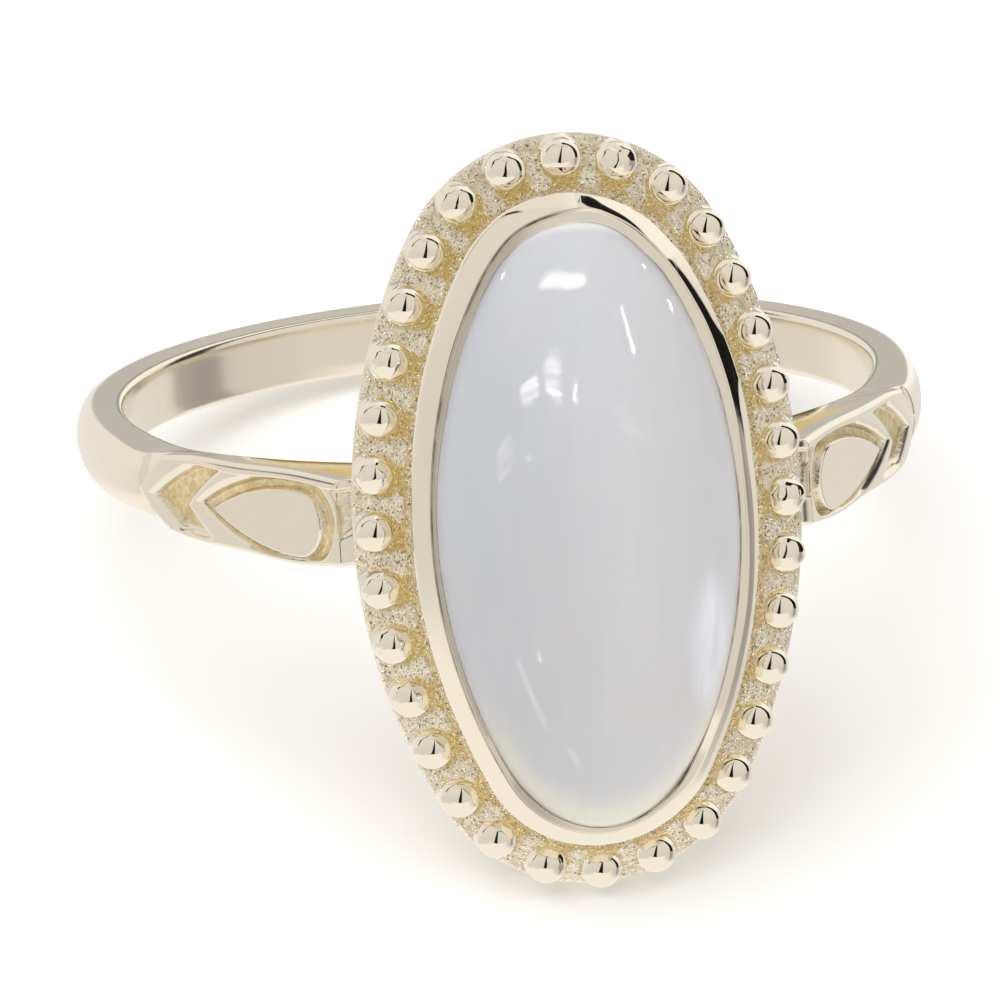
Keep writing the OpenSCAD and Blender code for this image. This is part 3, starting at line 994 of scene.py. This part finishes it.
def makeStoneMaterial():
    look = stoneLook
    material, tree, shader = newMaterial("moonstoneMilk")
    place = markOf(tree, "place", "Vector")
    rim = markOf(tree, "rim")
    spot = addNode(tree, "ShaderNodeSeparateXYZ", {"Vector": place}).outputs
    clouds = noiseAt(tree, place, 0.45, 2.0)
    fibres = noiseAt(tree, moved(tree, place, Scale=(3.0, 0.35, 1.0)), 1.2, 4.0)
    toCool = plus(tree, times(tree, spot["X"], -0.13), times(tree, spot["Y"], 0.055))
    colour = mixColour(tree, ramp(tree, plus(tree, toCool, clouds), 0.35, 1.1), look["milk"], look["cool"])
    colour = mixColour(tree, ramp(tree, clouds, 0.5, 0.75, 0.0, 0.5), colour, look["warm"])
    streaks = ramp(tree, fibres, 0.35, 0.8, 0.99, 1.015)
    # the fibres' streaks, and the stone darker towards the left
    streaks = times(tree, streaks, ramp(tree, spot["X"], -3.2, 1.0, 0.80, 0.97))
    # painted sheen: a soft bluish glow low on the right
    sheenX = times(tree, minus(tree, spot["X"], 2.5), 1.3)
    sheenY = times(tree, minus(tree, spot["Y"], -2.7), 0.5)
    paintedSheen = plus(tree, times(tree, sheenX, sheenX), times(tree, sheenY, sheenY))
    paintedSheen = times(tree, ramp(tree, paintedSheen, 1.0, 0.0), ramp(tree, fibres, 0.3, 0.7, 0.4, 1.0))
    colour = mixColour(tree, paintedSheen, colour, look["paintedSheen"])
    # painted light: white towards the edge, over the shade there
    colour = mixColour(tree, ramp(tree, rim, 0.955, 0.985), colour, look["rim"])
    # painted light: pale yellow low on the stone, near its edge
    low = times(tree, ramp(tree, rim, 0.82, 1.0), ramp(tree, spot["Y"], -2.5, -6.0))
    colour = mixColour(tree, low, colour, look["foot"])
    bright = addNode(tree, "ShaderNodeCombineColor", {k: streaks for k in range(3)}).outputs[0]
    tree.links.new(mixColour(tree, 1.0, colour, bright, "MULTIPLY"), shader.inputs["Base Color"])
    shader.inputs["Roughness"].default_value = look["roughness"]
    shader.inputs["IOR"].default_value = look["ior"]
    shader.inputs["Specular IOR Level"].default_value = look["polish"]
    # painted glow: the edge gives off a little light, though the stone is no lamp
    edge = ramp(tree, rim, 0.955, 0.995)
    edge = addNode(tree, "ShaderNodeCombineColor", {k: edge for k in range(3)}).outputs[0]
    tree.links.new(edge, shader.inputs["Emission Color"])
    shader.inputs["Emission Strength"].default_value = look["paintedEdgeGlow"]
    shader.inputs["Subsurface Weight"].default_value = 0.8
    shader.inputs["Subsurface Radius"].default_value = (1.0, 1.0, 1.0)
    shader.inputs["Subsurface Scale"].default_value = look["depth"] * mm
    return material


def makeStone():
    shape = stoneShape
    feet, _, _, _ = ovalStations(shape["stations"], 0)
    feet = feet * 0.9995
    shares = np.sin(np.linspace(0, np.pi / 2, shape["rings"] + 1))[1:]
    base = stoneLow[2] + shape["girdle"]
    loops = [np.column_stack([feet * share, domeHeight(feet * share)]) for share in shares]
    under = stoneLow[2]
    for share, height in ((1, base), (0.985, under + 0.02), (0.96, under), (0.5, under)):
        loops.append(np.column_stack([feet * share, np.full(len(feet), height)]))
    points = np.stack(loops, axis=1)
    stations, rows, _ = points.shape
    vertices = points.reshape(-1, 3).tolist() + [[0, 0, base + shape["dome"]], [0, 0, under]]
    faces = []
    for k in range(stations):
        here, there = k * rows, (k + 1) % stations * rows
        faces.append((stations * rows, there, here))
        faces.extend((here + j, there + j, there + j + 1, here + j + 1) for j in range(rows - 1))
        faces.append((stations * rows + 1, here + rows - 1, there + rows - 1))
    mesh = bpy.data.meshes.new("cabochon")
    mesh.from_pydata(vertices, [], faces)
    place = mesh.attributes.new("place", "FLOAT_VECTOR", "POINT")
    place.data.foreach_set("vector", np.array(vertices, dtype=np.float32).ravel())
    mesh.transform(ringSpace)
    rim = np.append(np.tile(np.append(shares, [1, 1, 1, 0.5]), stations), [0, 0])
    return finishPiece("cabochon", mesh, makeStoneMaterial(), {"rim": rim})


cabochon = makeStone()
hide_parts("moonstone")


# Studio: pale floor, and a painted tent with its dark seam, a dark streak and a bar
def makeFloor():
    size = 2.5
    mesh = bpy.data.meshes.new("floor")
    corners = [(-size, -size, 0), (size, -size, 0), (size, size, 0), (-size, size, 0)]
    mesh.from_pydata(corners, [], [(0, 1, 2, 3)])
    floor = bpy.data.objects.new("floor", mesh)
    material, tree, shader = newMaterial("paleFloor")
    shader.inputs["Base Color"].default_value = (0.93, 0.93, 0.93, 1)
    shader.inputs["Roughness"].default_value = 0.9
    shader.inputs["Specular IOR Level"].default_value = 0.0
    shader.inputs["Emission Color"].default_value = (1, 1, 1, 1)
    shader.inputs["Emission Strength"].default_value = 0.1
    mesh.materials.append(material)
    bpy.context.scene.collection.objects.link(floor)
    floor.visible_glossy = False  # the polished metal mirrors the tent all round, as in the photo


studioLook = {
    "tent": 0.74,
    "tentHigh": 0.82,
    "ground": 1.0,
    "leftEdge": 0.88,
    "groundLeft": 0.77,
    "groundRight": 0.70,
    "beyond": 1.06,
    "beyondLeft": 0.88,
    "beyondRight": 0.82,
    "behind": 0.54,  # what the side of the band mirrors
    "faintSeam": 0.5,
    "tint": (1.0, 0.975, 0.945),
}


def makeStudio():
    world = bpy.data.worlds.new("studio")
    world.use_nodes = True
    world.cycles.sampling_method = "NONE"  # the tent is even, so chance rays find it best
    bpy.context.scene.world = world
    tree = world.node_tree
    background = tree.nodes["Background"]
    way = addNode(tree, "ShaderNodeTexCoord").outputs["Generated"]
    right, up, back = (tuple(cameraAxes.col[k]) for k in range(3))

    def vector(operation, first, second):
        node = addNode(tree, "ShaderNodeVectorMath", operation=operation)
        for socket, value in zip(node.inputs, (first, second)):
            feed(tree, socket, value)
        return node.outputs["Value" if operation == "DOT_PRODUCT" else "Vector"]

    # where a mirror ball in the studio shows each direction: x and y from -1 to 1
    sumOfBoth = {0: vector("ADD", way, back)}
    half = addNode(tree, "ShaderNodeVectorMath", sumOfBoth, operation="NORMALIZE").outputs["Vector"]
    ballX, ballY = vector("DOT_PRODUCT", half, right), vector("DOT_PRODUCT", half, up)

    def fade(value, low, high, toLow=0.0, toHigh=1.0):
        return ramp(tree, value, low, high, toLow, toHigh)

    def patch(x, y, halfWide, halfTall, turn=0.0, soft=0.02, taper=0.0):
        # soft edged strip on the mirror ball, narrower towards its top by taper
        c, s = np.cos(np.radians(turn)), np.sin(np.radians(turn))
        dx, dy = minus(tree, ballX, x), minus(tree, ballY, y)
        along = plus(tree, times(tree, dy, c), times(tree, dx, -s))
        beside = plus(tree, times(tree, dx, c), times(tree, dy, s))
        narrowed = maths(tree, "MULTIPLY_ADD", along, -taper, halfWide)
        inWide = fade(minus(tree, narrowed, maths(tree, "ABSOLUTE", beside)), -soft, soft)
        inTall = fade(minus(tree, halfTall, maths(tree, "ABSOLUTE", along)), -soft, soft)
        return times(tree, inWide, inTall)

    def toward(value, target, share):
        # moves a brightness towards another by a share
        return plus(tree, value, times(tree, minus(tree, target, value), share))

    look = studioLook
    tent = fade(ballY, -0.25, 0.4, look["tent"], look["tentHigh"])
    # the tent's floor, dimmer to both sides
    height = addNode(tree, "ShaderNodeSeparateXYZ", {"Vector": way}).outputs["Z"]
    leftPart = times(tree, fade(ballX, -0.28, -0.45), fade(ballY, -0.38, -0.24))
    rightPart = times(tree, fade(ballX, 0.35, 0.6), fade(ballY, -0.6, -0.25))
    ground = toward(look["ground"], look["groundLeft"], leftPart)
    ground = toward(ground, look["groundRight"], rightPart)
    light = toward(tent, ground, fade(height, 0.015, -0.015))
    leftEdge = times(tree, fade(ballX, -0.84, -0.93), fade(ballY, 0.4, 0.2))
    light = toward(light, look["leftEdge"], leftEdge)
    # the dark seam at the back of the tent, as a turn from the top and a distance from the ball's middle
    turn = maths(tree, "ARCTAN2", ballX, ballY)
    away = maths(tree, "SQRT", plus(tree, times(tree, ballX, ballX), times(tree, ballY, ballY)))
    aside = times(tree, turn, -1.0)
    seam = plus(tree, fade(turn, 0.2, 1.4, 0.71, 0.81), fade(aside, 0.45, 1.4, 0.0, 0.03))
    beyond = minus(tree, away, seam)
    sideways = maths(tree, "ABSOLUTE", turn)
    outside = times(tree, fade(beyond, 0.0, 0.02), fade(turn, 2.1, 1.7), fade(aside, 1.55, 1.4))
    beyondLight = fade(turn, 0.95, 1.25, look["beyond"], look["beyondRight"])
    beyondLight = toward(beyondLight, look["beyondLeft"], fade(turn, 0.1, -0.1))
    behind = times(tree, fade(away, 0.89, 0.96), fade(sideways, 0.5, 0.25))
    light = toward(light, toward(beyondLight, look["behind"], behind), outside)
    thick = plus(tree, fade(turn, 0.05, 0.14, 0.012, 0.042), fade(turn, 0.6, 1.2, 0.0, 0.02))
    thick = plus(tree, thick, fade(aside, 0.75, 1.0, 0.0, 0.012))
    line = fade(minus(tree, maths(tree, "ABSOLUTE", beyond), thick), 0.006, -0.006)
    rightEnd = times(tree, fade(turn, 0.08, 0.12), fade(turn, 1.62, 1.50))
    leftEnd = times(tree, fade(turn, -0.28, -0.34), fade(turn, -1.24, -1.16))
    faint = times(tree, fade(turn, 1.45, 1.6), fade(turn, 2.3, 1.8), look["faintSeam"])
    line = times(tree, line, highest(tree, highest(tree, rightEnd, leftEnd), faint))
    streak = patch(0.035, 0.15, 0.055, 0.42, turn=-9, soft=0.015, taper=0.11)
    bar = times(tree, patch(0.03, 0.57, 0.20, 0.012, soft=0.012), 0.4)
    dark = highest(tree, highest(tree, streak, bar), line)
    light = times(tree, light, minus(tree, 1.0, times(tree, dark, 0.985)))
    warm = {k: times(tree, light, share) for k, share in enumerate(look["tint"])}
    tint = addNode(tree, "ShaderNodeCombineColor", warm)
    tree.links.new(tint.outputs[0], background.inputs["Color"])


def addAreaLight(name, energy, wide, tall, onlyOn=None):
    data = bpy.data.lights.new(name, "AREA")
    data.shape = "RECTANGLE"
    data.size = wide
    data.size_y = tall
    data.energy = energy
    light = bpy.data.objects.new(name, data)
    light.visible_camera = False
    if onlyOn:
        data.use_shadow = False
        light.light_linking.receiver_collection = onlyOn
    bpy.context.scene.collection.objects.link(light)
    return light


def collectionOf(name, piece):
    collection = bpy.data.collections.new(name)
    collection.objects.link(piece)
    return collection


def makeTopLight():
    light = addAreaLight("topLight", 1.4, 0.5, 0.5)
    light.location = (-0.12, -0.10, 0.45)
    light.rotation_euler = (-light.location).to_track_quat("-Z", "Y").to_euler()
    light.visible_glossy = False


# Window panes and blinds that only the stone's polish shows, each by where it shows on the dome:
# from x, y to x, y and its width in millimetres, then its strength
windowSlats = [
    (-0.90, 5.70, -0.33, 6.02, 0.07, 1.0),
    (-0.76, 5.67, -0.22, 5.90, 0.07, 1.0),
    (-0.45, 5.67, 0.10, 5.93, 0.09, 1.0),
    (-0.29, 5.65, 0.09, 5.82, 0.08, 1.0),
    (-0.13, 5.65, 0.07, 5.71, 0.05, 0.8),
    (-0.73, 5.90, -0.57, 6.03, 0.02, 0.8),
    (-1.56, 3.61, -1.19, 3.80, 0.05, 0.9),
    (-1.57, 3.48, -1.18, 3.65, 0.10, 1.0),
    (-1.57, 3.30, -1.22, 3.43, 0.07, 1.0),
    (-1.55, 3.19, -1.29, 3.26, 0.08, 0.25),
    (-0.78, 4.45, -0.81, 4.14, 0.26, 0.12),
    (-0.99, 4.11, -0.67, 4.07, 0.08, 1.0),
    (-1.01, 3.94, -0.68, 3.87, 0.09, 1.0),
    (-1.02, 3.69, -0.71, 3.65, 0.06, 1.0),
    (-1.04, 3.56, -0.71, 3.40, 0.11, 1.0),
    (-0.89, 3.36, -0.73, 3.18, 0.13, 0.2),
    (-0.42, 3.78, -0.29, 3.75, 0.05, 1.0),
    (-0.39, 3.62, -0.38, 3.42, 0.09, 1.0),
    (-0.46, 3.33, -0.37, 3.20, 0.08, 1.0),
    (-2.19, 2.08, -1.84, 2.52, 0.06, 0.3),
    (-2.20, 1.82, -1.84, 2.21, 0.06, 0.3),
    (-2.18, 1.55, -1.82, 1.90, 0.06, 0.3),
    (-1.52, 2.08, -1.53, 1.98, 0.07, 0.9),
    (-1.53, -2.40, -1.52, -2.65, 0.04, 0.6),
    (-1.99, -2.71, -1.41, -4.29, 0.11, 0.1),
    (-1.74, -3.36, -1.62, -3.66, 0.03, 0.4),
    (-0.98, -4.71, -0.68, -5.22, 0.11, 0.1),
    (0.82, 5.15, 0.88, 4.80, 0.06, 0.8),
    (0.88, 4.80, 1.01, 4.14, 0.07, 0.9),
    (1.48, 5.88, 1.57, 5.76, 0.04, 0.7),
    (1.98, 5.03, 2.05, 4.88, 0.06, 0.8),
    (0.88, 6.49, 0.90, 6.37, 0.03, 0.6),
    (-1.70, 5.78, -1.58, 5.91, 0.05, 0.6),
    (-1.47, 6.14, -0.86, 6.63, 0.01, 0.5),
    (0.36, 2.87, 0.74, 2.65, 0.03, 0.4),
    (0.41, 3.14, 0.77, 2.82, 0.17, 0.07),
    (0.53, 2.58, 1.19, 2.30, 0.19, 0.07),
]
windowLook = {"distance": 1.2, "radiance": 120.0}


def makeWindows(stone):
    shape = stoneShape
    base = stoneLow[2] + shape["girdle"]
    axes = Vector((shape["domeX"], shape["domeY"], shape["dome"]))
    eye = ringSpace.inverted() @ bpy.context.scene.camera.location

    def mirrored(x, y):
        # from a place on the dome to what it mirrors for the photo's camera
        lift = np.sqrt(1 - (x / axes.x) ** 2 - (y / axes.y) ** 2)
        normal = Vector((x / axes.x**2, y / axes.y**2, lift / axes.z)).normalized()
        look = (Vector((x, y, base + axes.z * lift)) - eye).normalized()
        return ringTurn @ look.reflect(normal)

    onlyStone = collectionOf("seenByStone", stone)
    middle = ringSpace @ Vector((0, 0, base + axes.z))
    for k, (x1, y1, x2, y2, width, strength) in enumerate(windowSlats):
        midX, midY = (x1 + x2) / 2, (y1 + y2) / 2
        length = np.hypot(x2 - x1, y2 - y1)
        sideX, sideY = -(y2 - y1) / length * width / 2, (x2 - x1) / length * width / 2
        way = mirrored(midX, midY).normalized()
        long = mirrored(x2, y2) - mirrored(x1, y1)
        wide = mirrored(midX + sideX, midY + sideY) - mirrored(midX - sideX, midY - sideY)
        right = (long - way * long.dot(way)).normalized()
        upward = way.cross(right)
        lightWide = long.length * windowLook["distance"]
        lightTall = max(abs(wide.dot(upward)), 0.004) * windowLook["distance"]
        energy = windowLook["radiance"] * strength * np.pi * lightWide * lightTall
        light = addAreaLight(f"windowSlat{k}", energy, lightWide, lightTall, onlyStone)
        turn = Matrix((right, upward, way)).transposed()
        light.matrix_world = Matrix.Translation(middle + way * windowLook["distance"]) @ turn.to_4x4()
        light.visible_diffuse = False


# Small lamps that only the cast frame shows, as fine glints: place on a mirror ball, and strength
sparkleLamps = [
    (-0.42, 0.30, 0.6), (0.30, 0.42, 0.8), (-0.50, -0.38, 0.5),
    (0.45, -0.30, 2.0), (-0.05, -0.55, 2.2), (0.62, 0.15, 2.0),
]
sparkleLook = {"distance": 0.4, "size": 0.02, "energy": 0.05}


def makeSparkle(piece):
    onlyFrame = collectionOf("seenByFrame", piece)
    size, back = sparkleLook["size"], cameraAxes.col[2]
    for k, (x, y, strength) in enumerate(sparkleLamps):
        normal = cameraAxes @ Vector((x, y, np.sqrt(1 - x * x - y * y)))
        way = (2 * normal.dot(back) * normal - back).normalized()
        light = addAreaLight(f"sparkle{k}", sparkleLook["energy"] * strength, size, size, onlyFrame)
        light.location = way * sparkleLook["distance"]
        light.rotation_euler = (-way).to_track_quat("-Z", "Y").to_euler()


makeFloor()
makeStudio()
makeTopLight()
makeWindows(cabochon)
makeSparkle(beadedFrame)
bpy.context.scene.view_settings.view_transform = "Standard"
print("studio lit")
